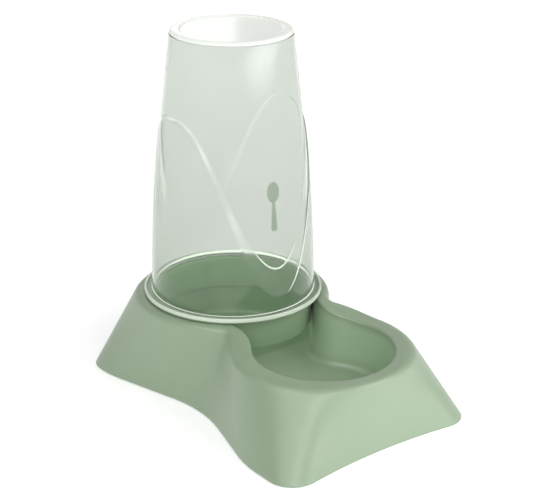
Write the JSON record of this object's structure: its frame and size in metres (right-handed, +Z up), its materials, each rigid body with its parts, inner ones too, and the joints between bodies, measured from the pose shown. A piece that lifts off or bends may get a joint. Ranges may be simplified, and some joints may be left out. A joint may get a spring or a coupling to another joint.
{
  "type": "pet food and water dispenser",
  "caption": "Gravity dispenser for pets: a translucent tank stands upside down in a moulded base whose round well opens through a neck into a round bowl.",
  "frame": {"origin": "centre of the footprint on the floor, under the middle of the base", "axes": "+X from the tank towards the bowl, +Y to the left side when facing along +X, +Z up"},
  "size_m": [0.3006, 0.206, 0.3187],
  "materials": {
    "base_plastic": "satin sage green moulded plastic",
    "ring_plastic": "satin sage green moulded plastic, a little darker",
    "tank_plastic": "translucent pale green moulded plastic",
    "pad_rubber": "soft grey rubber"
  },
  "bodies": {
    "root": {"base": "base_plastic", "flow_ring": "ring_plastic", "tank": "tank_plastic", "pad_tank_left": "pad_rubber", "pad_tank_right": "pad_rubber", "pad_bowl_left": "pad_rubber", "pad_bowl_right": "pad_rubber"}
  },
  "joints": []
}
